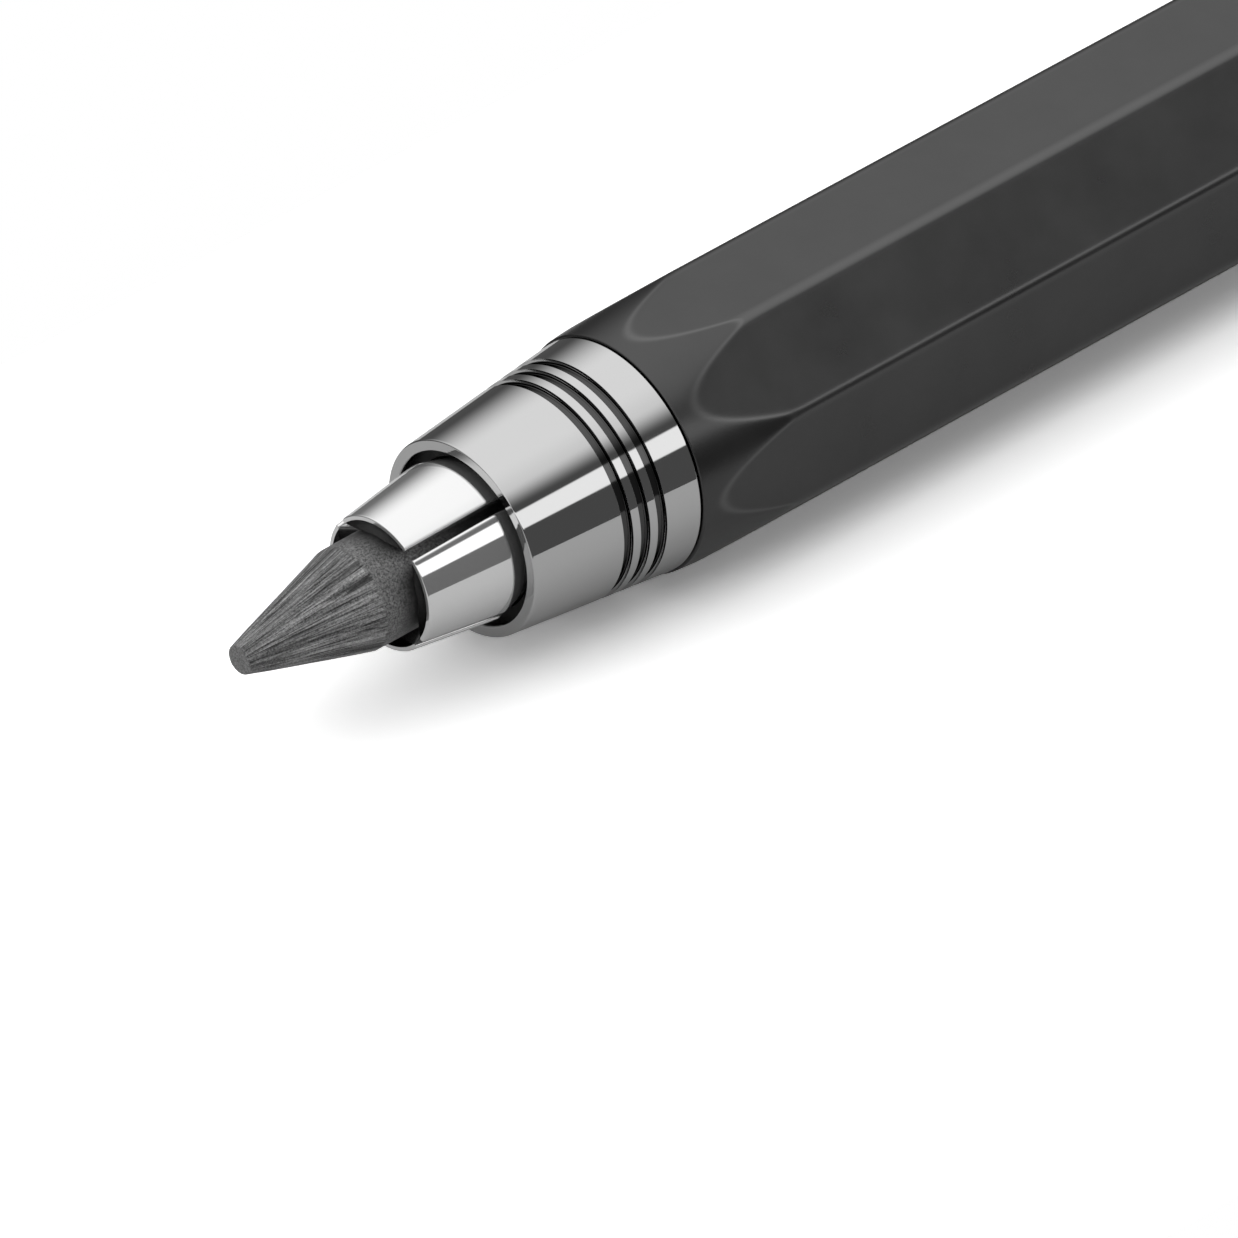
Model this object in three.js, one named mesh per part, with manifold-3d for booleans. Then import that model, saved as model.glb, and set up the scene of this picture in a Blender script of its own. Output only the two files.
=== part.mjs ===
// A sketching lead holder (clutch pencil) for a thick graphite lead: an octagonal metal barrel with a
// screwed-in conical nose sleeve, a four-jaw collet on a sprung inner tube, and a push button at the rear.
//
// The holder lies on one flat of its barrel. +X runs along the pen from the lead's point to the push
// button and +Z is up. Stations along the pen are measured from the nose sleeve's front face, and the
// whole assembly is moved at the end so that the origin is under the middle of its bounding box.
import * as THREE from "three";
import { mergeVertices } from "three/addons/utils/BufferGeometryUtils.js";
import Module from "manifold-3d";

const wasm = await Module();
wasm.setup();

// ---- Driving dimensions, in millimetres ----
const ACROSS_FLATS = 13.2; // octagonal barrel
const BARREL_LENGTH = 75.8;
const LEAD_DIAMETER = 5.6;
const LEAD_LENGTH = 80;
const NOSE_LENGTH = 10.25; // visible part of the nose sleeve
const COLLET_REACH = 5.48; // how far the closed jaws stand out of the nose sleeve
const POINT_REACH = 9.32; // how far the sharpened point stands out of the jaws
const BUTTON_REACH = 10.8; // how far the button stands out of the rear collar

// ---- Clearances and resolution ----
const SLIP = 0.05; // between pieces that touch face to face or slide in each other
const ROUND = 40; // facets of the outer turned pieces
const INNER_ROUND = 28; // facets of the pieces inside the barrel

// ---- Radii shared by mating pieces ----
const LEAD_R = LEAD_DIAMETER / 2;
const FLAT_R = ACROSS_FLATS / 2; // barrel axis to each flat
const CORNER_R = FLAT_R / Math.cos(Math.PI / 8); // barrel axis to each sharp corner
const CORNER_ROUNDING = 0.8;
const BARREL_BORE_R = 5.4;
const SPIGOT_R = BARREL_BORE_R - SLIP; // screwed ends of the nose sleeve and the rear collar
const TUBE_R = 3.9;
const TUBE_BORE_R = LEAD_R + 0.15;
const FINGER_R = 3.45; // spring fingers and shank of the collet
const BUTTON_R = 4.55;
const BUTTON_BORE_R = TUBE_R + SLIP;

// ---- Stations along the pen, from the nose sleeve's front face ----
const BARREL_X = NOSE_LENGTH + 0.1;
const BARREL_END_X = BARREL_X + BARREL_LENGTH;
const SPIGOT_END_X = BARREL_X + 7.85;
const COLLET_ROOT_X = 15; // where the spring fingers flex
const COLLET_END_X = 23;
const SPRING_X = 19.5;
const SPRING_END_X = 46;
const TUBE_X = 18.75;
const TUBE_END_X = 84;
const CIRCLIP_X = 47.6;
const COLLAR_X = BARREL_END_X + 0.1;
const COLLAR_END_X = COLLAR_X + 1.75;
const BUTTON_X = 76;
const BUTTON_END_X = COLLAR_END_X + BUTTON_REACH;
const JAW_X = -COLLET_REACH;
const POINT_X = JAW_X - POINT_REACH;

const finish = (color, roughness, metalness) =>
  new THREE.MeshStandardMaterial({ color, roughness, metalness });
const BLACK_COAT = finish(0x2b2b2c, 0.42, 0.2);
const CHROME = finish(0xd4d6d8, 0.06, 1);
const BLACK_LACQUER = finish(0x070707, 0.08, 0);
const GRAPHITE = finish(0x55565a, 0.5, 0.35);
const BRASS = finish(0xb08d4a, 0.3, 1);
const SPRING_STEEL = finish(0x9a9ca0, 0.25, 1);
const BLACK_STEEL = finish(0x1c1c1d, 0.4, 0.6);

// ---- Solid modelling helpers ----

// A closed three.js geometry as a manifold solid.
function solid(geometry) {
  const bare = geometry.index ? geometry.toNonIndexed() : geometry.clone();
  bare.deleteAttribute("normal");
  bare.deleteAttribute("uv");
  const merged = mergeVertices(bare, 1e-4);
  return new wasm.Manifold(
    new wasm.Mesh({
      numProp: 3,
      vertProperties: merged.attributes.position.array,
      triVerts: new Uint32Array(merged.index.array),
    }),
  );
}

// A manifold solid back as a three.js geometry.
function geometryOf(body) {
  const mesh = body.getMesh();
  const positions = new Float32Array(mesh.numVert * 3);
  for (let i = 0; i < mesh.numVert; i++)
    positions.set(
      mesh.vertProperties.subarray(i * mesh.numProp, i * mesh.numProp + 3),
      i * 3,
    );
  return new THREE.BufferGeometry()
    .setAttribute("position", new THREE.BufferAttribute(positions, 3))
    .setIndex(new THREE.BufferAttribute(mesh.triVerts, 1));
}

// Revolves an outline of [station, radius] points round the pen's axis. The outline runs from the rear
// to the front along the outside and back along the bore, or it starts and ends on the axis.
function turned(outline, facets = ROUND) {
  const points = outline.map(([x, r]) => new THREE.Vector2(r, x));
  const onAxis = points[0].x === 0 && points.at(-1).x === 0;
  if (!onAxis) points.push(points[0].clone());
  return new THREE.LatheGeometry(points, facets).rotateZ(-Math.PI / 2);
}

// A plain ring between two stations, with its bore and outer radius.
const ring = (x0, x1, bore, outer) =>
  turned([[x0, bore], [x0, outer], [x1, outer], [x1, bore]], INNER_ROUND);

// The outline of a regular octagon with rounded corners, one flat facing down.
function octagon() {
  const shape = new THREE.Shape();
  const centreR = CORNER_R - CORNER_ROUNDING / Math.cos(Math.PI / 8);
  for (let corner = 0; corner < 8; corner++) {
    const middle = ((corner + 0.5) * Math.PI) / 4;
    shape.absarc(
      centreR * Math.cos(middle),
      centreR * Math.sin(middle),
      CORNER_ROUNDING,
      middle - Math.PI / 8,
      middle + Math.PI / 8,
      false,
    );
  }
  return shape;
}

// ---- Barrel ----

// The octagonal bar is turned down to a shallow cone at each end, so each flat starts in a scallop.
function barrel() {
  const endR = 6.42;
  const coneLength = 7.1;
  const edge = 0.12; // broken edge at each end
  const middle = CORNER_R + 0.2; // clear of the corners, where the bar stays octagonal
  const slope = (CORNER_R - endR) / coneLength;
  const overrun = (middle - CORNER_R) / slope;
  const bar = new THREE.ExtrudeGeometry(octagon(), {
    depth: BARREL_LENGTH,
    bevelEnabled: false,
    curveSegments: 3,
  })
    .rotateY(Math.PI / 2)
    .translate(BARREL_X, 0, 0);
  const envelope = turned(
    [
      [BARREL_X, 0],
      [BARREL_X, endR - edge],
      [BARREL_X + edge, endR],
      [BARREL_X + coneLength + overrun, middle],
      [BARREL_END_X - coneLength - overrun, middle],
      [BARREL_END_X - edge, endR],
      [BARREL_END_X, endR - edge],
      [BARREL_END_X, 0],
    ],
    56,
  );
  const bore = turned([
    [BARREL_X - 1, 0],
    [BARREL_X - 1, BARREL_BORE_R],
    [BARREL_END_X + 1, BARREL_BORE_R],
    [BARREL_END_X + 1, 0],
  ]);
  return geometryOf(solid(bar).intersect(solid(envelope)).subtract(solid(bore)));
}

// ---- Nose sleeve and its lacquered grooves ----

const NOSE_FRONT_R = 5.33;
const NOSE_REAR_R = 6.38;
const MOUTH_R = 4.72;
const MOUTH_EDGE = 0.06; // broken inner edge of the mouth
const LIP = 0.1; // radius of the nose sleeve's rounded front edge
const NOSE_BORE_R = 4.9;
const SEAT_X = 0.75;
const SEAT_END_X = 3.6;
const THROAT_R = 3.89;
const GROOVE_WIDTH = 0.62;
const GROOVE_PITCH = 1.04;
const GROOVE_DEPTH = 0.3;
const FIRST_GROOVE_X = 5.47;
const noseRadius = (x) =>
  NOSE_FRONT_R + ((NOSE_REAR_R - NOSE_FRONT_R) * x) / NOSE_LENGTH;

function noseSleeve() {
  const grooves = [0, 1, 2].flatMap((i) => {
    const x0 = FIRST_GROOVE_X + i * GROOVE_PITCH;
    const x1 = x0 + GROOVE_WIDTH;
    return [
      [x0, noseRadius(x0)],
      [x0, noseRadius(x0) - GROOVE_DEPTH],
      [x1, noseRadius(x1) - GROOVE_DEPTH],
      [x1, noseRadius(x1)],
    ];
  });
  return turned([
    [0, MOUTH_R + MOUTH_EDGE],
    [0, NOSE_FRONT_R - LIP],
    [0.3 * LIP, NOSE_FRONT_R - 0.3 * LIP],
    [LIP, noseRadius(LIP)],
    ...grooves,
    [NOSE_LENGTH, NOSE_REAR_R],
    [NOSE_LENGTH, SPIGOT_R],
    [SPIGOT_END_X, SPIGOT_R],
    [SPIGOT_END_X, NOSE_BORE_R],
    [SEAT_X - SLIP, NOSE_BORE_R],
    [SEAT_X - SLIP, MOUTH_R],
    [MOUTH_EDGE, MOUTH_R],
  ]);
}

// Hard ring pressed into the nose sleeve. The jaws close as the spring pulls them back into its cone.
const clutchSeatRing = () =>
  turned([
    [SEAT_X, 4.14],
    [SEAT_X, NOSE_BORE_R - SLIP],
    [SEAT_END_X, NOSE_BORE_R - SLIP],
    [SEAT_END_X, THROAT_R],
    [SEAT_X + 0.85, THROAT_R],
  ]);

// Black lacquer that fills one groove to just under the metal.
function grooveRing(index) {
  const gap = 0.03;
  const sunk = 0.05;
  const x0 = FIRST_GROOVE_X + index * GROOVE_PITCH + gap;
  const x1 = x0 + GROOVE_WIDTH - 2 * gap;
  return turned([
    [x0, noseRadius(x0) - GROOVE_DEPTH + gap],
    [x0, noseRadius(x0) - sunk],
    [x1, noseRadius(x1) - sunk],
    [x1, noseRadius(x1) - GROOVE_DEPTH + gap],
  ]);
}

// ---- Collet ----

const JAWS = 4;
const SLOT_WIDTH = 0.58;
const COLLET_CLOCKING = THREE.MathUtils.degToRad(38); // first slot, turned from +Y towards +Z
const GRIP_R = LEAD_R + 0.06;

// Head and spring fingers before they are slit: the head widens to the rear, then tapers to the seat.
function colletBlank() {
  return turned([
    [JAW_X, 3.24],
    [JAW_X, 3.52],
    [JAW_X + 0.05, 3.62],
    [JAW_X + 0.14, 3.675],
    [-0.72, 4.27],
    [-0.46, 4.3],
    [-0.22, 4.24],
    [2.85, FINGER_R],
    [COLLET_ROOT_X, FINGER_R],
    [COLLET_ROOT_X, TUBE_BORE_R],
    [2.6, TUBE_BORE_R],
    [2.45, GRIP_R],
    [JAW_X + 1, GRIP_R],
  ]);
}

// One jaw with its spring finger: the quarter of the blank between two slots.
function jaw(index) {
  const length = COLLET_ROOT_X - JAW_X + 2;
  const half = Math.SQRT1_2 * SLOT_WIDTH; // puts the quarter's apex on the slots' inner edges
  const reach = 6;
  const quarter = new THREE.Shape([
    new THREE.Vector2(half, 0),
    new THREE.Vector2(half + reach, -reach),
    new THREE.Vector2(half + reach, reach),
  ]);
  const middle = COLLET_CLOCKING + ((index + 0.5) * Math.PI * 2) / JAWS;
  const cutter = new THREE.ExtrudeGeometry(quarter, {
    depth: length,
    bevelEnabled: false,
  })
    .rotateY(Math.PI / 2)
    .rotateX(Math.PI / 2)
    .rotateX(middle)
    .translate(JAW_X - 1, 0, 0);
  return geometryOf(solid(colletBlank()).intersect(solid(cutter)));
}

// Solid rear of the collet: the ring that carries the fingers, a shoulder and the screwed shank.
const colletBody = () =>
  turned(
    [
      [COLLET_ROOT_X + 0.1, TUBE_BORE_R],
      [COLLET_ROOT_X + 0.1, FINGER_R],
      [17.5, FINGER_R],
      [17.5, TUBE_R],
      [TUBE_X - SLIP, TUBE_R],
      [TUBE_X - SLIP, FINGER_R - SLIP],
      [COLLET_END_X, FINGER_R - SLIP],
      [COLLET_END_X, TUBE_BORE_R],
    ],
    INNER_ROUND,
  );

// ---- Lead and the tube that stores it ----

function lead() {
  const pointR = 0.8;
  const coneX = -7.46;
  const broken = 0.16;
  return turned([
    [POINT_X, 0],
    [POINT_X, pointR - broken],
    [POINT_X + broken, pointR],
    [coneX, LEAD_R],
    [POINT_X + LEAD_LENGTH - broken, LEAD_R],
    [POINT_X + LEAD_LENGTH, LEAD_R - broken],
    [POINT_X + LEAD_LENGTH, 0],
  ]);
}

const CLIP_GROOVE_R = 3.5;
const CLIP_THICKNESS = 0.55;

const leadTube = () =>
  turned(
    [
      [TUBE_X, FINGER_R],
      [TUBE_X, TUBE_R],
      [CIRCLIP_X - SLIP, TUBE_R],
      [CIRCLIP_X - SLIP, CLIP_GROOVE_R],
      [CIRCLIP_X + CLIP_THICKNESS + SLIP, CLIP_GROOVE_R],
      [CIRCLIP_X + CLIP_THICKNESS + SLIP, TUBE_R],
      [TUBE_END_X, TUBE_R],
      [TUBE_END_X, TUBE_BORE_R],
      [COLLET_END_X + SLIP, TUBE_BORE_R],
      [COLLET_END_X + SLIP, FINGER_R],
    ],
    INNER_ROUND,
  );

// ---- Spring and what it presses on ----

const WIRE_R = 0.3;
const COIL_R = 4.6;

// A compression spring's centreline: a closed turn at each end and open turns between.
class SpringPath extends THREE.Curve {
  getPoint(t, target = new THREE.Vector3()) {
    const turns = 10;
    const closed = 2 * WIRE_R + 0.06; // pitch of each end turn
    const first = SPRING_X + WIRE_R;
    const last = SPRING_END_X - WIRE_R;
    const turn = t * turns;
    const open = (last - first - 2 * closed) / (turns - 2);
    let x = first + closed * turn;
    if (turn > 1) x = first + closed + open * (turn - 1);
    if (turn > turns - 1) x = last - closed * (turns - turn);
    const angle = 2 * Math.PI * turn;
    return target.set(x, COIL_R * Math.cos(angle), COIL_R * Math.sin(angle));
  }
}

function clutchSpring() {
  const sides = 5;
  const section = new THREE.Shape();
  for (let i = 0; i < sides; i++) {
    const angle = (2 * Math.PI * i) / sides;
    const corner = [WIRE_R * Math.cos(angle), WIRE_R * Math.sin(angle)];
    if (i) section.lineTo(...corner);
    else section.moveTo(...corner);
  }
  return new THREE.ExtrudeGeometry(section, {
    extrudePath: new SpringPath(),
    steps: 120,
    bevelEnabled: false,
  });
}

const springSeat = () =>
  ring(SPIGOT_END_X + SLIP, SPRING_X - SLIP, TUBE_R + 0.2, SPIGOT_R);
const springCollar = () =>
  ring(SPRING_END_X + SLIP, CIRCLIP_X - SLIP, TUBE_R + SLIP, 5.1);

// An open ring snapped into the tube's groove behind the spring collar.
function tubeCirclip() {
  const gap = THREE.MathUtils.degToRad(50); // half of the opening
  const shape = new THREE.Shape();
  shape.absarc(0, 0, 4.7, gap, 2 * Math.PI - gap, false);
  shape.absarc(0, 0, CLIP_GROOVE_R + SLIP, 2 * Math.PI - gap, gap, true);
  return new THREE.ExtrudeGeometry(shape, {
    depth: CLIP_THICKNESS,
    bevelEnabled: false,
    curveSegments: 14,
  })
    .rotateY(Math.PI / 2)
    .translate(CIRCLIP_X, 0, 0);
}

// ---- Rear collar and push button ----

function rearCollar() {
  const flangeR = 6.38;
  const edge = 0.25;
  return turned([
    [BUTTON_X + 1.6, BUTTON_R + 0.07],
    [BUTTON_X + 1.6, SPIGOT_R],
    [COLLAR_X, SPIGOT_R],
    [COLLAR_X, flangeR],
    [COLLAR_END_X - edge, flangeR - 0.05],
    [COLLAR_END_X, flangeR - 0.05 - edge],
    [COLLAR_END_X, BUTTON_R + 0.25],
    [COLLAR_END_X - 0.18, BUTTON_R + 0.07],
  ]);
}

const DISC_R = 3;
const DISC_THICKNESS = 0.6;

// A deep cap screwed onto the lead tube, with a stop flange inside the barrel and a seat for a disc.
function pushButton() {
  const domeLength = 1.3;
  const shoulder = Array.from({ length: 6 }, (_, i) => {
    const angle = (i / 5) * (Math.PI / 2);
    return [
      BUTTON_END_X - domeLength * (1 - Math.sin(angle)),
      BUTTON_R - 0.95 * (1 - Math.cos(angle)),
    ];
  });
  const discSeatX = BUTTON_END_X - DISC_THICKNESS - SLIP;
  return turned([
    [BUTTON_X, BUTTON_BORE_R],
    [BUTTON_X, 5.1],
    [BUTTON_X + 1.2, 5.1],
    [BUTTON_X + 1.2, BUTTON_R],
    ...shoulder,
    [BUTTON_END_X, DISC_R + SLIP],
    [discSeatX, DISC_R + SLIP],
    [discSeatX, 0],
    [discSeatX - 1, 0],
    [discSeatX - 1, TUBE_BORE_R + 0.3],
    [TUBE_END_X + SLIP, TUBE_BORE_R + 0.3],
    [TUBE_END_X + SLIP, BUTTON_BORE_R],
  ]);
}

const buttonDisc = () =>
  turned([
    [BUTTON_END_X - DISC_THICKNESS, 0],
    [BUTTON_END_X - DISC_THICKNESS, DISC_R],
    [BUTTON_END_X - 0.1, DISC_R],
    [BUTTON_END_X, DISC_R - 0.1],
    [BUTTON_END_X, 0],
  ]);

// ---- Assembly ----

const pen = new THREE.Group();
pen.position.set(-(POINT_X + BUTTON_END_X) / 2, 0, FLAT_R);

function add(name, geometry, material) {
  const mesh = new THREE.Mesh(geometry, material);
  mesh.name = name;
  pen.add(mesh);
}

add("barrel", barrel(), BLACK_COAT);
add("nose_sleeve", noseSleeve(), CHROME);
["front", "middle", "rear"].forEach((place, i) =>
  add(`groove_ring_${place}`, grooveRing(i), BLACK_LACQUER),
);
add("clutch_seat_ring", clutchSeatRing(), BLACK_STEEL);
add("collet_body", colletBody(), CHROME);
for (let i = 0; i < JAWS; i++) add(`collet_jaw_${i + 1}`, jaw(i), CHROME);
add("lead", lead(), GRAPHITE);
add("lead_tube", leadTube(), BRASS);
add("clutch_spring", clutchSpring(), SPRING_STEEL);
add("spring_seat", springSeat(), BRASS);
add("spring_collar", springCollar(), BRASS);
add("tube_circlip", tubeCirclip(), SPRING_STEEL);
add("rear_collar", rearCollar(), CHROME);
add("push_button", pushButton(), CHROME);
add("button_disc", buttonDisc(), CHROME);

const assembly = new THREE.Group();
assembly.add(pen);
export default assembly;
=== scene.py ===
"""Looks for a sketching lead holder: a satin black octagonal barrel, a chromed nose sleeve with three
lacquered grooves, four nickelled clutch jaws and a sharpened graphite lead.

Lengths are in millimetres in the pen's own terms: a station along +X from the nose sleeve's front face,
and y and z from the pen's axis. They become metres in the row frame when a mesh is made.
"""
import math

import bpy
import numpy as np
from mathutils import Matrix, Vector, noise


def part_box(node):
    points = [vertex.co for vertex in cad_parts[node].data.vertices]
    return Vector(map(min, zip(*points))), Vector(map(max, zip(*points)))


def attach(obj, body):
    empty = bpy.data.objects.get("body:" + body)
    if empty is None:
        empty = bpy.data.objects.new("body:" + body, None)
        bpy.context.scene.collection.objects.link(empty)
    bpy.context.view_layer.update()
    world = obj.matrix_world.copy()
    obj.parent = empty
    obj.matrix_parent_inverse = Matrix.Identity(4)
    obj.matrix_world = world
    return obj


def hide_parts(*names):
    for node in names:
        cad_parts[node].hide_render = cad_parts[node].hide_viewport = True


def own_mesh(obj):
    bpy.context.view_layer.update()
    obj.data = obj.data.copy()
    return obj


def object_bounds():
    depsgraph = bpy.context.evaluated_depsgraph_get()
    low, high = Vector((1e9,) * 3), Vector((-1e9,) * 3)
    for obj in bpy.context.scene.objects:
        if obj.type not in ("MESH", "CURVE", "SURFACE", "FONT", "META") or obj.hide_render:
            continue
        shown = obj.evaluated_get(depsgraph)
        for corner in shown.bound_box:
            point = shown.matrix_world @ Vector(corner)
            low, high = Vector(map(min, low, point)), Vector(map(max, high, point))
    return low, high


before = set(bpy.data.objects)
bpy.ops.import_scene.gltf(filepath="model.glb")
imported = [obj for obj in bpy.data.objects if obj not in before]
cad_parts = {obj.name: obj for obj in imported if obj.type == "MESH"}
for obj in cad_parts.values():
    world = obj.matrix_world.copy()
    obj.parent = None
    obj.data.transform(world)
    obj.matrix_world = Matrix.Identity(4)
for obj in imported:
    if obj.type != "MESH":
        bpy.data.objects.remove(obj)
cad_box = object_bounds()

MM = 0.001


def station(x):
    """Station in millimetres of a place along X in the row frame, in metres."""
    return (x - NOSE_ORIGIN) / MM


def span(node):
    """First and last station of a CAD node."""
    low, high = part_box(node)
    return station(low.x), station(high.x)


def outer_radius(node):
    """Largest distance of a round CAD node from the pen's axis."""
    low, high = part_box(node)
    return (high.y - low.y) / 2 / MM


# ---- Places taken from the frame ----
NOSE_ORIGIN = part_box("nose_sleeve")[0].x
AXIS_HEIGHT = (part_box("barrel")[0].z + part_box("barrel")[1].z) / 2
FLAT_R = outer_radius("barrel")
BARREL_X, BARREL_END_X = span("barrel")
POINT_X, LEAD_END_X = span("lead")
JAW_X, JAW_ROOT_X = span("collet_jaw_1")
GROOVES = [f"groove_ring_{place}" for place in ("front", "middle", "rear")]
COLLAR_X, COLLAR_END_X = BARREL_END_X + 0.1, span("rear_collar")[1]
BUTTON_X, BUTTON_END_X = span("push_button")
LEAD_R = outer_radius("lead")

# ---- Sizes that the boxes don't give ----
SPIGOT_R = 5.35
SPIGOT_LENGTH = 7.85
NOSE_LENGTH = 10.25
NOSE_FRONT_R = 5.33
NOSE_REAR_R = 6.38
MOUTH_R = 4.72
NOSE_BORE_R = 4.9
SEAT_X = 0.7
GROOVE_DEPTH = 0.3
CONE_X = -7.46  # where the sharpened cone meets the lead's full thickness
JAWS = 4
FIRST_JAW_ANGLE = math.radians(83)
SLOT_WIDTH = 0.58
TUBE_BORE_R = LEAD_R + 0.15
BARREL_BORE_R = 5.4


# ---- Meshes ----


def make_piece(name, points, faces, material, body, node, shades=None):
    """A smooth-shaded mesh from points in the pen's millimetres, riding on a body in place of a CAD node.

    shades holds a number or a vector for each point under each name that the material reads.
    """
    points = np.asarray(points, float) * MM
    points[:, 0] += NOSE_ORIGIN
    points[:, 2] += AXIS_HEIGHT
    mesh = bpy.data.meshes.new(name)
    mesh.from_pydata(points.tolist(), [], faces)
    mesh.polygons.foreach_set("use_smooth", [True] * len(mesh.polygons))
    mesh.materials.append(material)
    for key, values in (shades or {}).items():
        if len(np.ravel(values)) == len(points):
            mesh.attributes.new(key, "FLOAT", "POINT").data.foreach_set("value", np.ravel(values))
        else:
            mesh.attributes.new(key, "FLOAT_VECTOR", "POINT").data.foreach_set("vector", np.ravel(values))
    mesh.update()
    piece = bpy.data.objects.new(name, mesh)
    bpy.context.scene.collection.objects.link(piece)
    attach(piece, body)
    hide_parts(node)


def rounded(outline, radii, steps=8, support=0.02):
    """An outline of (station, radius) points with each corner replaced by an arc of its own radius.

    Each arc has a support point just outside each end, so that smooth shading stays flat on the straight
    stretches. A radius of 0 leaves a corner as it is. Both ends stay as they are.
    """
    outline = [Vector(p) for p in outline]
    made = [outline[0]]
    for before, corner, after, radius in zip(outline, outline[1:], outline[2:], radii):
        if radius == 0:
            made.append(corner)
            continue
        to_before, to_after = (before - corner).normalized(), (after - corner).normalized()
        half = to_before.angle(to_after) / 2
        reach = radius / math.tan(half)
        centre = corner + (to_before + to_after).normalized() * radius / math.sin(half)
        start = corner + to_before * reach - centre
        end = corner + to_after * reach - centre
        made.append(centre + start + to_before * support)
        sweep = math.pi - 2 * half
        for i in range(steps + 1):
            t = i / steps
            arm = (start * math.sin((1 - t) * sweep) + end * math.sin(t * sweep)) / math.sin(sweep)
            made.append(centre + arm)
        made.append(centre + end + to_after * support)
    return made + [outline[-1]]


def grid_faces(rows, columns, close_rows=False):
    """Quads over rows of points that each close on themselves.

    close_rows also joins the last row to the first.
    """
    faces = []
    for i in range(rows if close_rows else rows - 1):
        low, high = i * columns, ((i + 1) % rows) * columns
        for j in range(columns):
            k = (j + 1) % columns
            faces.append((low + j, low + k, high + k, high + j))
    return faces


def revolve(outline, segments=256):
    """Points and faces of an outline turned round the pen.

    The outline is closed, or its two ends lie on the axis.
    """
    on_axis = outline[0][1] == 0 and outline[-1][1] == 0
    body = outline[1:-1] if on_axis else outline
    turn = 2 * np.pi * np.arange(segments) / segments
    rows = [np.column_stack([np.full(segments, x), r * np.cos(turn), r * np.sin(turn)]) for x, r in body]
    points = np.concatenate(rows)
    faces = grid_faces(len(body), segments, close_rows=not on_axis)
    if on_axis:
        first, last = len(points), len(points) + 1
        points = np.vstack([points, [outline[0][0], 0, 0], [outline[-1][0], 0, 0]])
        end = (len(body) - 1) * segments
        for j in range(segments):
            k = (j + 1) % segments
            faces.append((first, k, j))
            faces.append((last, end + j, end + k))
    return points, faces


# ---- Materials ----


def new_material(name, **sockets):
    """A Principled material with plain values on the shader's own sockets, its nodes and the shader."""
    material = bpy.data.materials.new(name)
    material.use_nodes = True
    tree = material.node_tree
    shader = tree.nodes["Principled BSDF"]
    for socket, value in sockets.items():
        shader.inputs[socket.replace("_", " ")].default_value = value
    return material, tree, shader


def grey(value):
    return (value, value, value, 1)


def noise_texture(tree, scale, detail=4, roughness=0.55, stretch=(1, 1, 1), along=None):
    """Noise in object space, with its scale in features per metre, or over a vector stored on the mesh."""
    mapping = tree.nodes.new("ShaderNodeMapping")
    mapping.inputs["Scale"].default_value = stretch
    texture = tree.nodes.new("ShaderNodeTexNoise")
    texture.inputs["Scale"].default_value = scale
    texture.inputs["Detail"].default_value = detail
    texture.inputs["Roughness"].default_value = roughness
    if along:
        source = tree.nodes.new("ShaderNodeAttribute")
        source.attribute_name = along
        place = source.outputs["Vector"]
    else:
        place = tree.nodes.new("ShaderNodeTexCoord").outputs["Object"]
    tree.links.new(place, mapping.inputs["Vector"])
    tree.links.new(mapping.outputs["Vector"], texture.inputs["Vector"])
    return texture.outputs["Fac"]


def ramp(tree, value, low, high, at_low=0.0, at_high=1.0):
    """Colour ramp from one grey to another as value goes from low to high."""
    node = tree.nodes.new("ShaderNodeValToRGB")
    node.color_ramp.elements[0].position = low
    node.color_ramp.elements[0].color = grey(at_low)
    node.color_ramp.elements[1].position = high
    node.color_ramp.elements[1].color = grey(at_high)
    tree.links.new(value, node.inputs["Fac"])
    return node.outputs["Color"]


def bump(tree, shader, height, distance, strength=1.0):
    node = tree.nodes.new("ShaderNodeBump")
    node.inputs["Strength"].default_value = strength
    node.inputs["Distance"].default_value = distance
    tree.links.new(height, node.inputs["Height"])
    tree.links.new(node.outputs["Normal"], shader.inputs["Normal"])


def shade(tree, name):
    """A number stored on the mesh's points."""
    node = tree.nodes.new("ShaderNodeAttribute")
    node.attribute_name = name
    return node.outputs["Fac"]


def mixed(tree, factor, low, high, blend="MIX"):
    """Two colours or colour outputs mixed by a factor."""
    node = tree.nodes.new("ShaderNodeMix")
    node.data_type = "RGBA"
    node.blend_type = blend
    for socket, value in (
        (node.inputs["Factor"], factor),
        (node.inputs[6], low),
        (node.inputs[7], high),
    ):
        if isinstance(value, (int, float, tuple)):
            socket.default_value = value
        else:
            tree.links.new(value, socket)
    return node.outputs[2]


def satin_black():
    material, tree, shader = new_material("satin_black_coat", Metallic=1.0)
    fine = noise_texture(tree, 9000, detail=2)
    broad = noise_texture(tree, 260, detail=4)
    coat = ramp(tree, broad, 0.3, 0.7, 0.072, 0.08)
    # Lighter coat along crests and arrises: partly wear, partly a painted highlight.
    tree.links.new(mixed(tree, shade(tree, "wear_and_highlight"), coat, grey(0.2)), shader.inputs["Base Color"])
    tree.links.new(ramp(tree, broad, 0.3, 0.7, 0.27, 0.31), shader.inputs["Roughness"])
    bump(tree, shader, fine, 0.000004, 0.5)
    return material


def polished_metal(name, colour, smooth, dull, metallic=1.0):
    material, tree, shader = new_material(name, Metallic=metallic)
    shader.inputs["Base Color"].default_value = grey(colour)
    smears = noise_texture(tree, 420, detail=5, roughness=0.6)
    tree.links.new(ramp(tree, smears, 0.35, 0.75, smooth, dull), shader.inputs["Roughness"])
    bump(tree, shader, noise_texture(tree, 700, detail=2), 0.000002, 0.25)
    return material


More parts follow.
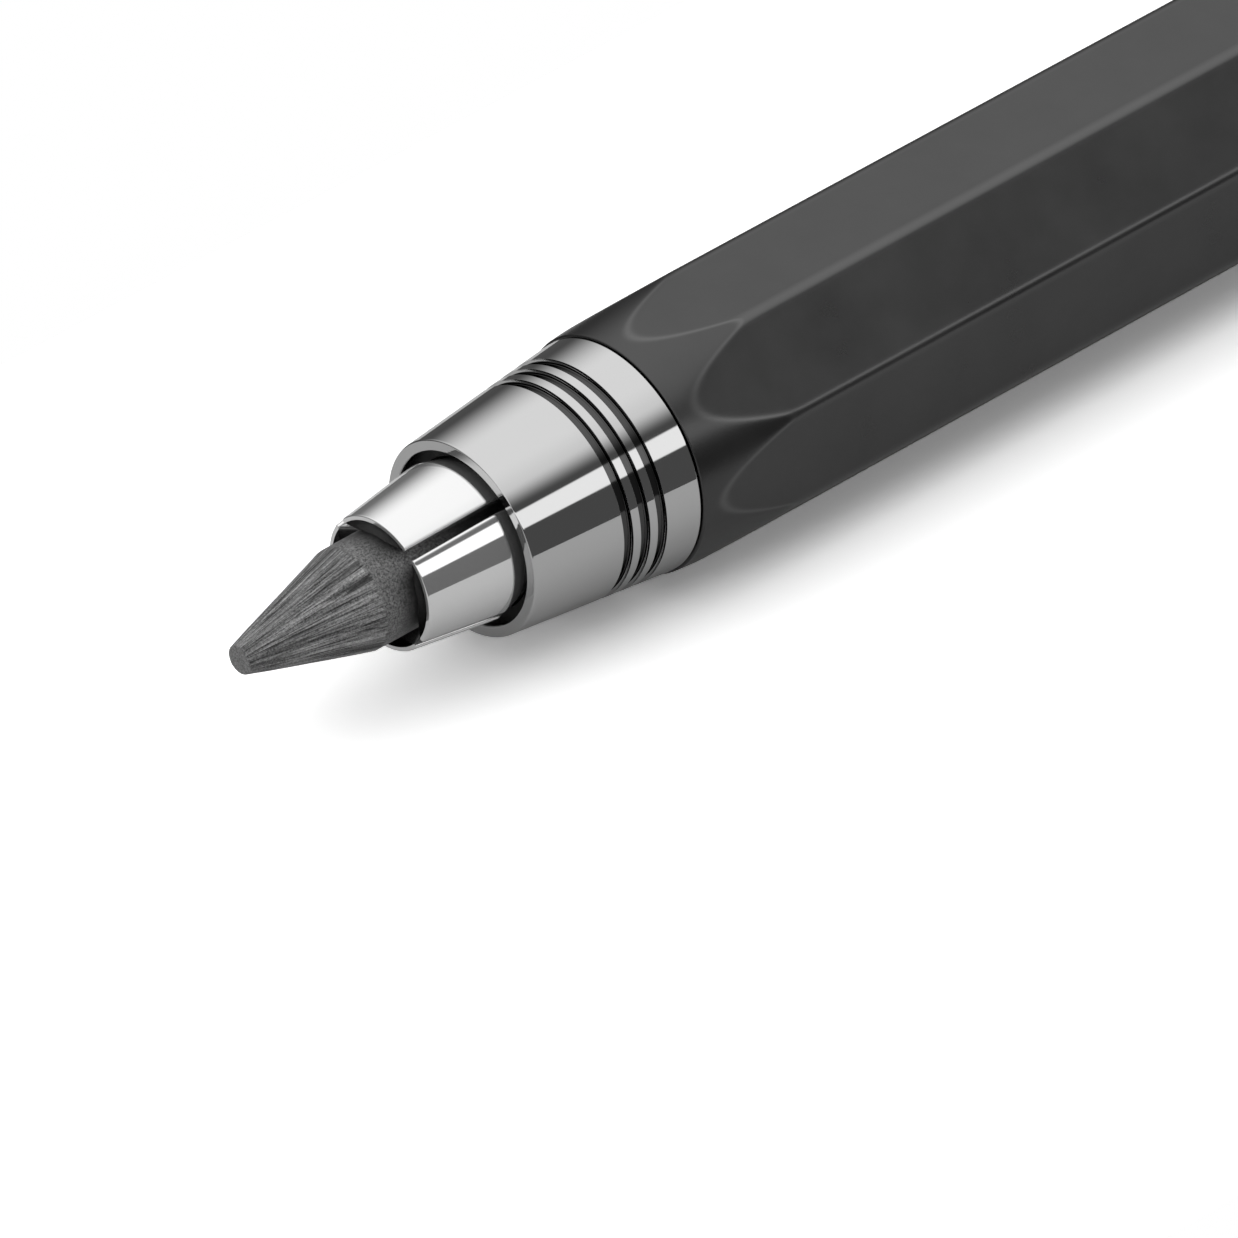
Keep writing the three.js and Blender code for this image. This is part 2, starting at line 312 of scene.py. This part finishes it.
def black_lacquer():
    """Glossy on the bed of a groove. Its walls are painted dead black, as painted shade in the groove."""
    material, tree, shader = new_material("black_lacquer", Metallic=1.0, Specular_Tint=grey(0.03))
    tree.links.new(ramp(tree, shade(tree, "bed"), 0, 1, 0.0, 0.075), shader.inputs["Base Color"])
    level = noise_texture(tree, 800, detail=2)
    tree.links.new(ramp(tree, level, 0.3, 0.7, 0.05, 0.09), shader.inputs["Roughness"])
    return material


def graphite():
    """Grey and faintly glossy where the sharpener cut it, darker and mottled on the moulded surface.

    The cut ridges carry painted shade in their valleys and score lines and a painted highlight on their
    tops, and painted shade darkens the lead near and inside the jaws.
    """
    material, tree, shader = new_material("graphite", Metallic=0.0, IOR=1.4)
    grain = noise_texture(tree, 9000, detail=4, roughness=0.7)
    lines = noise_texture(tree, 24, detail=4, roughness=0.65, along="fan")
    specks = ramp(tree, grain, 0.42, 0.6, 0.05, 0.33)
    cut_tone = mixed(tree, 0.5, specks, ramp(tree, lines, 0.43, 0.58, 0.035, 0.4))
    # Painted shade and highlight of the relief: darker in the ridges' valleys and score lines, lighter on
    # their tops.
    lines_and_ridge_shade = mixed(tree, 1.0, cut_tone, ramp(tree, shade(tree, "ridge"), 0, 1, 0.25, 1.35), "MULTIPLY")
    moulded = ramp(tree, grain, 0.38, 0.64, 0.045, 0.25)
    tone = mixed(tree, shade(tree, "cut"), moulded, lines_and_ridge_shade)
    # Painted shade: the lead turns near black near and inside the jaws, where shade falls.
    painted_jaw_shade = mixed(tree, shade(tree, "painted_jaw_shade"), tone, grey(0.006))
    tree.links.new(painted_jaw_shade, shader.inputs["Base Color"])
    tree.links.new(ramp(tree, grain, 0.4, 0.6, 0.42, 0.6), shader.inputs["Roughness"])
    height = mixed(tree, 0.5, ramp(tree, grain, 0.3, 0.7), ramp(tree, lines, 0.3, 0.7))
    bump(tree, shader, height, 0.00003, 0.8)
    return material


def turned_brass():
    material, tree, shader = new_material("turned_brass", Metallic=1.0)
    rings = noise_texture(tree, 2500, detail=3, stretch=(1, 0.02, 0.02))
    shader.inputs["Base Color"].default_value = (0.63, 0.46, 0.2, 1)
    tree.links.new(ramp(tree, rings, 0.3, 0.7, 0.22, 0.38), shader.inputs["Roughness"])
    bump(tree, shader, rings, 0.00001, 0.4)
    return material


def spring_steel():
    material, tree, shader = new_material("spring_steel", Metallic=1.0)
    drawn = noise_texture(tree, 5000, detail=3)
    shader.inputs["Base Color"].default_value = grey(0.5)
    tree.links.new(ramp(tree, drawn, 0.3, 0.7, 0.2, 0.34), shader.inputs["Roughness"])
    bump(tree, shader, drawn, 0.000006, 0.4)
    return material


def blackened_steel():
    material, tree, shader = new_material("blackened_steel", Metallic=0.0, IOR=1.3)
    oxide = noise_texture(tree, 1500, detail=4)
    tree.links.new(ramp(tree, oxide, 0.35, 0.65, 0.002, 0.006), shader.inputs["Base Color"])
    tree.links.new(ramp(tree, oxide, 0.35, 0.65, 0.4, 0.55), shader.inputs["Roughness"])
    return material


# ---- Barrel ----


CORNER_ROUNDING = 0.8
ARC_REACH = (FLAT_R - CORNER_ROUNDING) / math.cos(math.pi / 8)  # axis to the centre of a corner's arc
ARC_START = math.atan2(ARC_REACH * math.sin(math.pi / 8), FLAT_R)  # angle where a flat meets an arc


def octagon_radius(turn):
    """Distance from the axis to a rounded octagon's edge at an angle, one flat facing down."""
    eighth = math.pi / 4
    off = np.abs((turn + eighth / 2) % eighth - eighth / 2)  # angle from the middle of the nearest flat
    flat = FLAT_R / np.cos(off)
    from_corner = eighth / 2 - off
    half_chord = np.maximum(CORNER_ROUNDING**2 - (ARC_REACH * np.sin(from_corner)) ** 2, 0)
    arc = ARC_REACH * np.cos(from_corner) + np.sqrt(half_chord)
    return np.where(off < ARC_START, flat, arc)


def barrel(material):
    """The octagonal bar turned down to a shallow cone at each end, with its crests slightly softened.

    The lighter coat along the crests where the cone meets the flats, and along the arrises, is partly wear
    and partly a painted highlight.
    """
    end_r, cone_length, edge, crest = 6.48, 6.8, 0.12, 0.035
    past_cone, step = 0.6, 0.07
    # Strength and width of the lighter coat on crests and arrises, partly wear and partly painted
    # highlight.
    crest_wear_and_highlight, crest_wear_and_highlight_width, arris_wear_and_highlight = 0.36, 0.028, 0.2
    arris_margin, arris_fade = 0.02, 0.05  # angles in radians
    corner_r = FLAT_R / math.cos(math.pi / 8)
    slope = (corner_r - end_r) / cone_length
    columns = 768
    turn = 2 * np.pi * np.arange(columns) / columns
    bar = octagon_radius(turn)
    off_flat = np.abs((turn + math.pi / 8) % (math.pi / 4) - math.pi / 8)
    arris = np.clip((off_flat - ARC_START + arris_margin) / arris_fade, 0, 1)

    fine = np.arange(0, cone_length + past_cone, step)
    ends = np.concatenate([edge * (1 - np.cos(np.linspace(0, np.pi / 2, 7))), edge + 0.02 + fine])
    length = BARREL_END_X - BARREL_X
    middle = np.linspace(ends[-1], length - ends[-1], 12)[1:-1]
    along = np.concatenate([ends, middle, (length - ends)[::-1]])
    rows, wear_and_highlight = [], []

    def add_row(x, r):
        rows.append(np.column_stack([np.full(columns, BARREL_X + x), r * np.cos(turn), r * np.sin(turn)]))

    for x in along:
        from_end = min(x, length - x)
        cone = end_r + slope * from_end
        if from_end < edge:
            cone += math.sqrt(edge**2 - (edge - from_end) ** 2) - edge
        r = cone - crest * np.logaddexp(0, (cone - bar) / crest)  # soft minimum of the cone and the bar
        add_row(x, r)
        turned_crest = np.exp(-(((cone - bar) / crest_wear_and_highlight_width) ** 2))
        on_bar = cone > bar - 0.02
        wear_and_highlight.append(np.maximum(crest_wear_and_highlight * turned_crest, arris_wear_and_highlight * arris * on_bar))
    bore_edge = 0.05
    for x, r in (
        (length, BARREL_BORE_R + bore_edge),
        (length - bore_edge, BARREL_BORE_R),
        (bore_edge, BARREL_BORE_R),
        (0, BARREL_BORE_R + bore_edge),
    ):
        add_row(x, r)
        wear_and_highlight.append(np.zeros(columns))
    faces = grid_faces(len(rows), columns, close_rows=True)
    points = np.concatenate(rows)
    make_piece("barrel_shell", points, faces, material, "barrel", "barrel", {"wear_and_highlight": wear_and_highlight})


# ---- Nose sleeve ----


def nose_radius(x):
    return NOSE_FRONT_R + (NOSE_REAR_R - NOSE_FRONT_R) * x / NOSE_LENGTH


def nose_sleeve(chrome):
    gap, bevel = 0.005, 0.05
    spigot_end = BARREL_X + SPIGOT_LENGTH
    outline = [(SEAT_X, MOUTH_R), (bevel, MOUTH_R), (0, MOUTH_R + bevel), (0, nose_radius(0))]
    radii = [0.02, 0.02, 0.1]
    for ring in GROOVES:
        first, last = span(ring)
        first, last = first - gap, last + gap
        outline += [
            (first, nose_radius(first)),
            (first, nose_radius(first) - GROOVE_DEPTH),
            (last, nose_radius(last) - GROOVE_DEPTH),
            (last, nose_radius(last)),
        ]
        radii += [0.008, 0, 0, 0.005]
    outline += [
        (NOSE_LENGTH, NOSE_REAR_R),
        (NOSE_LENGTH, SPIGOT_R),
        (spigot_end, SPIGOT_R),
        (spigot_end, NOSE_BORE_R),
        (SEAT_X, NOSE_BORE_R),
        (SEAT_X, MOUTH_R),
    ]
    radii += [0.06, 0, 0.1, 0.1, 0]
    points, faces = revolve(rounded(outline, radii)[:-1])
    make_piece("nose_shell", points, faces, chrome, "barrel", "nose_sleeve")


def groove_rings(lacquer):
    """Lacquer that lines each groove: a bed sunk below the sleeve's surface, and a thin wall at each side.

    bed is 1 on the bed and 0 on the walls, which the lacquer paints dead black as shade in the groove.
    """
    flush, sunk, wall = 0.01, 0.26, 0.03
    for ring in GROOVES:
        first, last = span(ring)
        bottom = nose_radius(first) - GROOVE_DEPTH + 0.01
        outline = [
            (first, bottom),
            (first, nose_radius(first) - flush),
            (first + wall, nose_radius(first) - sunk),
            (last - wall, nose_radius(last) - sunk),
            (last, nose_radius(last) - flush),
            (last, bottom),
        ]
        points, faces = revolve(rounded(outline, [0.01, 0.05, 0.05, 0.01], steps=5, support=0.005))
        below = nose_radius(points[:, 0]) - np.hypot(points[:, 1], points[:, 2])
        bed = np.clip((below - 0.22) / 0.02, 0, 1)
        make_piece(f"{ring}_lacquer", points, faces, lacquer, "barrel", ring, {"bed": bed})


# ---- Clutch jaws ----


def jaw_section(outer, inner, slot_half, corner, arc_steps=40):
    """Closed outline of one quarter between two slots, its middle along +Y, with rounded corners."""
    quarter = math.pi / 4
    outer_angle = quarter - math.asin((slot_half + corner) / (outer - corner))
    inner_angle = quarter - math.asin((slot_half + corner) / (inner + corner))
    side = 3 * math.pi / 4  # the way a slot's wall faces

    def arc(centre, radius, start, end, steps):
        turn = np.linspace(start, end, steps + 1)
        return np.column_stack([centre[0] + radius * np.cos(turn), centre[1] + radius * np.sin(turn)])

    outer_centre = (outer - corner) * np.array([math.cos(outer_angle), math.sin(outer_angle)])
    inner_centre = (inner + corner) * np.array([math.cos(inner_angle), math.sin(inner_angle)])
    crown = arc((0, 0), outer, 0, outer_angle, arc_steps)[1:-1]
    half = [
        crown,
        arc(outer_centre, corner, outer_angle, side, 7),
        arc(inner_centre, corner, side, math.pi + inner_angle, 5),
        arc((0, 0), inner, inner_angle, 0, arc_steps // 2)[1:-1],
    ]
    half = np.concatenate(half)
    mirrored = half[::-1] * (1, -1)
    return np.concatenate([[(outer, 0)], half, [(inner, 0)], mirrored])


def clutch_jaw(index, material):
    """A jaw head with its spring finger, lofted along the pen."""
    corner, front_edge = 0.14, 0.07
    front_r, crest_x, crest_r = 3.66, -0.42, 4.32
    finger_x, finger_r = 2.85, 3.45
    mouth_r, mouth_end, grip_r = 3.42, JAW_X + 1, LEAD_R + 0.06
    grip_end, relief_x = 2.45, 2.6  # where the grip's bore ends and where the finger's bore begins
    outline = [
        (JAW_X, mouth_r),
        (JAW_X, front_r),
        (crest_x, crest_r),
        (finger_x, finger_r),
        (JAW_ROOT_X, finger_r),
    ]
    profile = rounded(outline, [0.09, 0.5, 1.5], steps=12)[1:]
    extra = [(x, None) for x in (mouth_end, grip_end, relief_x)]
    stations = sorted({round(x, 5): r for x, r in extra + [tuple(p) for p in profile]}.items())
    xs = [x for x, r in stations if r is not None]
    rs = [r for x, r in stations if r is not None]
    sections = []
    middle = FIRST_JAW_ANGLE + index * math.pi / 2
    turn = np.array([[math.cos(middle), -math.sin(middle)], [math.sin(middle), math.cos(middle)]])
    for x, _ in stations:
        outer = float(np.interp(x, xs, rs))
        bore_xs = [JAW_X, mouth_end, grip_end, relief_x]
        inner = float(np.interp(x, bore_xs, [mouth_r, grip_r, grip_r, TUBE_BORE_R]))
        depth = max(x - JAW_X, 0)
        inset = 0.0
        if depth < front_edge:
            inset = front_edge - math.sqrt(front_edge**2 - (front_edge - depth) ** 2)
        section = jaw_section(outer, inner, SLOT_WIDTH / 2 + inset, max(corner - inset, 0.03))
        sections.append(np.column_stack([np.full(len(section), x), section @ turn.T]))
    columns = len(sections[0])
    faces = grid_faces(len(sections), columns)
    last = (len(sections) - 1) * columns
    half = columns // 2
    for start, flip in ((0, False), (last, True)):
        for j in range(half):
            quad = [start + j, start + j + 1, start + (columns - j - 1), start + (columns - j) % columns]
            if j == 0:
                quad = [start, start + 1, start + columns - 1]
            if j == half - 1:
                quad = [start + j, start + half, start + half + 1]
            faces.append(tuple(quad if flip else quad[::-1]))
    number = index + 1
    points = np.concatenate(sections)
    make_piece(
        f"clutch_jaw_{number}", points, faces, material, f"jaw_{number}", f"collet_jaw_{number}"
    )


# ---- Lead ----


def streaks(turn, x, across, along, seed):
    """Noise from -1 to 1 that changes fast round the lead and slowly along it."""
    return np.array(
        [noise.noise(Vector((math.cos(a) * across, math.sin(a) * across + seed, x * along))) for a in turn]
    )


def sharpened_lead(material):
    """The lead with its cone cut by a sharpener, whose fine uneven ridges all run to the point.

    Where the cone meets the full thickness, each ridge ends at a station of its own.

    Its points carry four shades. ridge is the height of the ridges, and cut is 1 where the sharpener cut.
    The third is painted shade: high near the jaws' mouth and inside the collet, where shade falls on the
    lead, sparing a strip in line with each slot at their mouth. fan is a vector that changes fast round the
    lead and slowly along it, so that noise drawn over it makes lines that run to the point.
    """
    point_r, columns = 0.78, 960
    flat_ridge, strip = 0.6, 0.7
    slope = (LEAD_R - point_r) / (CONE_X - POINT_X)
    rim, tail = 0.07, 0.16
    turn = 2 * np.pi * np.arange(columns) / columns
    off_slot = LEAD_R * np.abs((turn - FIRST_JAW_ANGLE) % (math.pi / 2) - math.pi / 4)
    under_jaw = 1 - np.exp(-((off_slot / strip) ** 2))
    fine_end, fine_step = -1.0, 0.07
    rim_turn = np.linspace(0, np.pi / 2, 8)
    stations = list(POINT_X + rim * (1 - np.cos(rim_turn)))
    stations += list(np.arange(stations[-1] + 0.03, fine_end, fine_step))
    stations += [fine_end + 1, LEAD_END_X - tail - 0.05]
    stations += list(LEAD_END_X - tail * np.cos(rim_turn))
    rows, ridge, cut, painted_jaw_shade, fan = [], [], [], [], []
    for x in stations:
        depth, score = np.zeros(columns), np.zeros(columns)
        full = np.full(columns, LEAD_R)
        if x < fine_end:
            coarse = streaks(turn, x, 7, 0.1, 0)
            fine = streaks(turn, x, 26, 0.3, 40)
            score = np.clip(1 - np.abs(streaks(turn, x, 9, 0.12, 20)) / 0.05, 0, 1)
            score *= np.clip(0.5 + 2 * streaks(turn, x, 4, 0.6, 60), 0, 1)
            depth = 0.032 * coarse + 0.036 * fine - 0.035 * score
        fade = min((x - POINT_X) / 1.5, 1)
        cone = point_r + slope * (x - POINT_X) + depth * (0.25 + 0.75 * fade)
        if x < POINT_X + rim:
            cone -= rim - math.sqrt(rim**2 - (rim - (x - POINT_X)) ** 2)
        if x > LEAD_END_X - tail:
            full -= tail - math.sqrt(max(tail**2 - (tail - (LEAD_END_X - x)) ** 2, 0))
        r = np.minimum(cone, full)
        rows.append(np.column_stack([np.full(columns, x), r * np.cos(turn), r * np.sin(turn)]))
        on_side = min((x - POINT_X) / rim, 1)
        # ridge also drives painted shade in the valleys and score lines and a painted highlight on the
        # ridge tops.
        ridge.append(np.clip(flat_ridge + on_side * (depth / 0.06 - score), 0, 1))
        cut.append(np.clip((full - cone) / 0.03, 0, 1))
        # Painted shade on the lead: darker towards the jaws' mouth except in line with the slots, and
        # darker inside the collet.
        shadowed = np.clip((x - JAW_X + 1.5) / 1.4, 0, 1)
        painted_shade_inside = np.clip((x - JAW_X - 0.4) / 3.6, 0, 1)
        painted_jaw_shade.append(0.95 * np.maximum(shadowed * under_jaw, painted_shade_inside))
        fan.append(np.column_stack([np.full(columns, 0.016 * x), np.cos(turn), np.sin(turn)]))
    points = np.concatenate(rows)
    faces = grid_faces(len(rows), columns)
    first, last = len(points), len(points) + 1
    points = np.vstack([points, [POINT_X, 0, 0], [LEAD_END_X, 0, 0]])
    end = (len(rows) - 1) * columns
    for j in range(columns):
        k = (j + 1) % columns
        faces.append((first, k, j))
        faces.append((last, end + j, end + k))
    shades = {
        "ridge": np.append(ridge, [flat_ridge, flat_ridge]),
        "cut": np.append(cut, [1, 0]),
        "painted_jaw_shade": np.append(painted_jaw_shade, [0, 0]),
        "fan": np.vstack(fan + [[[0, 0, 0], [0, 0, 0]]]),
    }
    make_piece("graphite_lead", points, faces, material, "lead", "lead", shades)


# ---- Clutch spring ----


def clutch_spring(material):
    """The spring between the barrel and the sliding tube: the CAD node's coils, copied to ride on the
    barrel.
    Nothing here closes them up as the button is pushed.
    """
    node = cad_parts["clutch_spring"]
    coils = node.data.copy()
    coils.materials.clear()
    coils.materials.append(material)
    spring = bpy.data.objects.new("clutch_spring_coils", coils)
    spring.matrix_world = node.matrix_world
    bpy.context.scene.collection.objects.link(spring)
    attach(spring, "barrel")
    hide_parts("clutch_spring")
    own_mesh(spring)


# ---- Rear end ----


def rear_collar(chrome):
    """The screwed ring that closes the barrel."""
    flange_r = outer_radius("rear_collar")
    bore = 4.62
    spigot_x = span("rear_collar")[0]
    outline = [
        (spigot_x, bore),
        (spigot_x, SPIGOT_R),
        (COLLAR_X, SPIGOT_R),
        (COLLAR_X, flange_r),
        (COLLAR_END_X, flange_r - 0.05),
        (COLLAR_END_X, bore),
        (spigot_x, bore),
    ]
    points, faces = revolve(rounded(outline, [0.1, 0, 0.06, 0.3, 0.2])[:-1])
    make_piece("rear_collar_shell", points, faces, chrome, "barrel", "rear_collar")


def push_button(chrome):
    """The button with its stop flange, hollow over the lead tube's end, and the plain disc in its face."""
    button_r, stop_r, stop_length = 4.55, 5.1, 1.2
    disc_r, disc_depth, gap = 3.0, 0.6, 0.05
    hollow_r = TUBE_BORE_R + 0.3
    tube_r = outer_radius("lead_tube")
    tube_end = span("lead_tube")[1]
    seat_x = BUTTON_END_X - disc_depth - gap
    outline = [
        (seat_x - 1, 0),
        (seat_x - 1, hollow_r),
        (tube_end + gap, hollow_r),
        (tube_end + gap, tube_r + gap),
        (BUTTON_X, tube_r + gap),
        (BUTTON_X, stop_r),
        (BUTTON_X + stop_length, stop_r),
        (BUTTON_X + stop_length, button_r),
        (BUTTON_END_X, button_r),
        (BUTTON_END_X, disc_r + gap),
        (seat_x, disc_r + gap),
        (seat_x, 0),
    ]
    points, faces = revolve(rounded(outline, [0, 0, 0, 0, 0.05, 0.05, 0, 1.15, 0.06, 0], steps=14))
    make_piece("push_button_cap", points, faces, chrome, "plunger", "push_button")

    first, last = span("button_disc")
    outline = [(first, 0), (first, disc_r), (last, disc_r), (last, 0)]
    points, faces = revolve(rounded(outline, [0.05, 0.1]))
    make_piece("button_disc_plain", points, faces, chrome, "plunger", "button_disc")


# ---- Studio ----


def math_node(tree, operation, *values):
    node = tree.nodes.new("ShaderNodeMath")
    node.operation = operation
    for socket, value in zip(node.inputs, values):
        if isinstance(value, (int, float)):
            socket.default_value = value
        else:
            tree.links.new(value, socket)
    return node.outputs[0]


def smooth_step(tree, value, low, high):
    node = tree.nodes.new("ShaderNodeMapRange")
    node.interpolation_type = "SMOOTHSTEP"
    node.inputs["From Min"].default_value = low
    node.inputs["From Max"].default_value = high
    tree.links.new(value, node.inputs["Value"])
    return node.outputs["Result"]


def band(tree, value, start, end):
    """1 between the inner ends of two ramps and 0 outside them: start and end are (from, to) pairs."""
    rise = smooth_step(tree, value, *start)
    fall = smooth_step(tree, value, end[1], end[0])
    return math_node(tree, "MULTIPLY", rise, fall)


# Light round the pen by the angle at which it comes in: 0 is level on the -Y side, 90 is overhead and
# 180 is level on the +Y side. Each panel has where it rises, where it falls, and its radiance.
PANELS = [
    ((44.5, 65.5), (125, 182), 1.12),  # large soft overhead panel
    ((53, 89), (125, 182), 0.3),  # its brighter middle
    ((21.6, 23.3), (39.4, 41.4), 1.7),  # narrow strip along the pen's near side
]
AMBIENT = 0.13


def studio():
    world = bpy.data.worlds.new("studio")
    bpy.context.scene.world = world
    world.use_nodes = True
    tree = world.node_tree
    tree.nodes.clear()
    coords = tree.nodes.new("ShaderNodeTexCoord")
    split = tree.nodes.new("ShaderNodeSeparateXYZ")
    tree.links.new(coords.outputs["Generated"], split.inputs[0])
    _, y, z = split.outputs
    angle = math_node(tree, "ARCTAN2", z, math_node(tree, "MULTIPLY", y, -1))
    degrees = math_node(tree, "DEGREES", angle)
    wrapped = math_node(tree, "WRAP", degrees, 270, -90)
    total = None
    for start, end, radiance in PANELS:
        panel = math_node(tree, "MULTIPLY", band(tree, wrapped, start, end), radiance)
        total = panel if total is None else math_node(tree, "ADD", total, panel)
    total = math_node(tree, "ADD", total, AMBIENT)
    lit = tree.nodes.new("ShaderNodeBackground")
    tree.links.new(total, lit.inputs["Strength"])
    paper = tree.nodes.new("ShaderNodeBackground")
    paper.inputs["Strength"].default_value = 1.0
    paper.inputs["Color"].default_value = grey(1)
    path = tree.nodes.new("ShaderNodeLightPath")
    mix = tree.nodes.new("ShaderNodeMixShader")
    out = tree.nodes.new("ShaderNodeOutputWorld")
    tree.links.new(path.outputs["Is Camera Ray"], mix.inputs["Fac"])
    tree.links.new(lit.outputs[0], mix.inputs[1])
    tree.links.new(paper.outputs[0], mix.inputs[2])
    tree.links.new(mix.outputs[0], out.inputs["Surface"])


# The floor's edges along Y in metres, and how pale it is in reflections and to the camera.
FLOOR_EDGES = (-0.0585, 0.034)
REFLECTED_LEVEL, PAPER_LEVEL = 0.6, 1.55


def floor():
    """A plain sheet of pale paper, the same all over, that the camera sees overexposed to white.

    It is long and narrow, so that the pen's sides also reflect the dark room beyond its edges.
    """
    length = 6
    near, far = FLOOR_EDGES
    bpy.ops.mesh.primitive_plane_add(size=1, location=(0, (near + far) / 2, cad_box[0].z))
    plane = bpy.context.object
    plane.name = "floor"
    plane.scale = (length, far - near, 1)
    material, tree, shader = new_material("pale_floor", Roughness=1.0)
    shader.inputs["Specular IOR Level"].default_value = 0
    path = tree.nodes.new("ShaderNodeLightPath")
    level = mixed(tree, path.outputs["Is Camera Ray"], grey(REFLECTED_LEVEL), grey(PAPER_LEVEL))
    tree.links.new(level, shader.inputs["Base Color"])
    plane.data.materials.append(material)


def camera():
    """A long lens looking down at the pen's point from its near side."""
    azimuth, elevation, roll = (math.radians(v) for v in (-42.77, 35.57, -0.62))
    distance = 1073
    aim = (1.585, -9.67, -0.645)  # station, y and z that the middle of the picture looks at
    back = Vector(
        (
            math.sin(azimuth) * math.cos(elevation),
            -math.cos(azimuth) * math.cos(elevation),
            math.sin(elevation),
        )
    )
    right = Vector((math.cos(azimuth), math.sin(azimuth), 0))
    right.rotate(Matrix.Rotation(roll, 3, back))
    up = back.cross(right)
    target = Vector((NOSE_ORIGIN + aim[0] * MM, aim[1] * MM, AXIS_HEIGHT + aim[2] * MM))
    place = target + back * distance * MM
    data = bpy.data.cameras.new("camera")
    data.sensor_width = 36
    data.lens = 636.1
    data.clip_end = 20
    view = bpy.data.objects.new("camera", data)
    view.matrix_world = Matrix(
        [[right[i], up[i], back[i], place[i]] for i in range(3)] + [[0, 0, 0, 1]]
    )
    bpy.context.scene.collection.objects.link(view)
    bpy.context.scene.camera = view


def main():
    camera()
    studio()
    floor()
    chrome = polished_metal("polished_chrome", 0.53, 0.025, 0.06)
    nickel = polished_metal("nickel_plate", 0.78, 0.04, 0.08, metallic=0.87)
    brass = turned_brass()
    steel = spring_steel()
    black_steel = blackened_steel()
    barrel(satin_black())
    nose_sleeve(chrome)
    groove_rings(black_lacquer())
    for index in range(JAWS):
        clutch_jaw(index, nickel)
    sharpened_lead(graphite())
    clutch_spring(steel)
    rear_collar(chrome)
    push_button(chrome)
    inner = {
        "clutch_seat_ring": black_steel,
        "collet_body": nickel,
        "lead_tube": brass,
        "spring_seat": brass,
        "spring_collar": brass,
        "tube_circlip": steel,
    }
    for node, material in inner.items():
        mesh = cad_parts[node].data
        mesh.materials.clear()
        mesh.materials.append(material)
    bpy.context.scene.view_settings.view_transform = "Standard"


main()
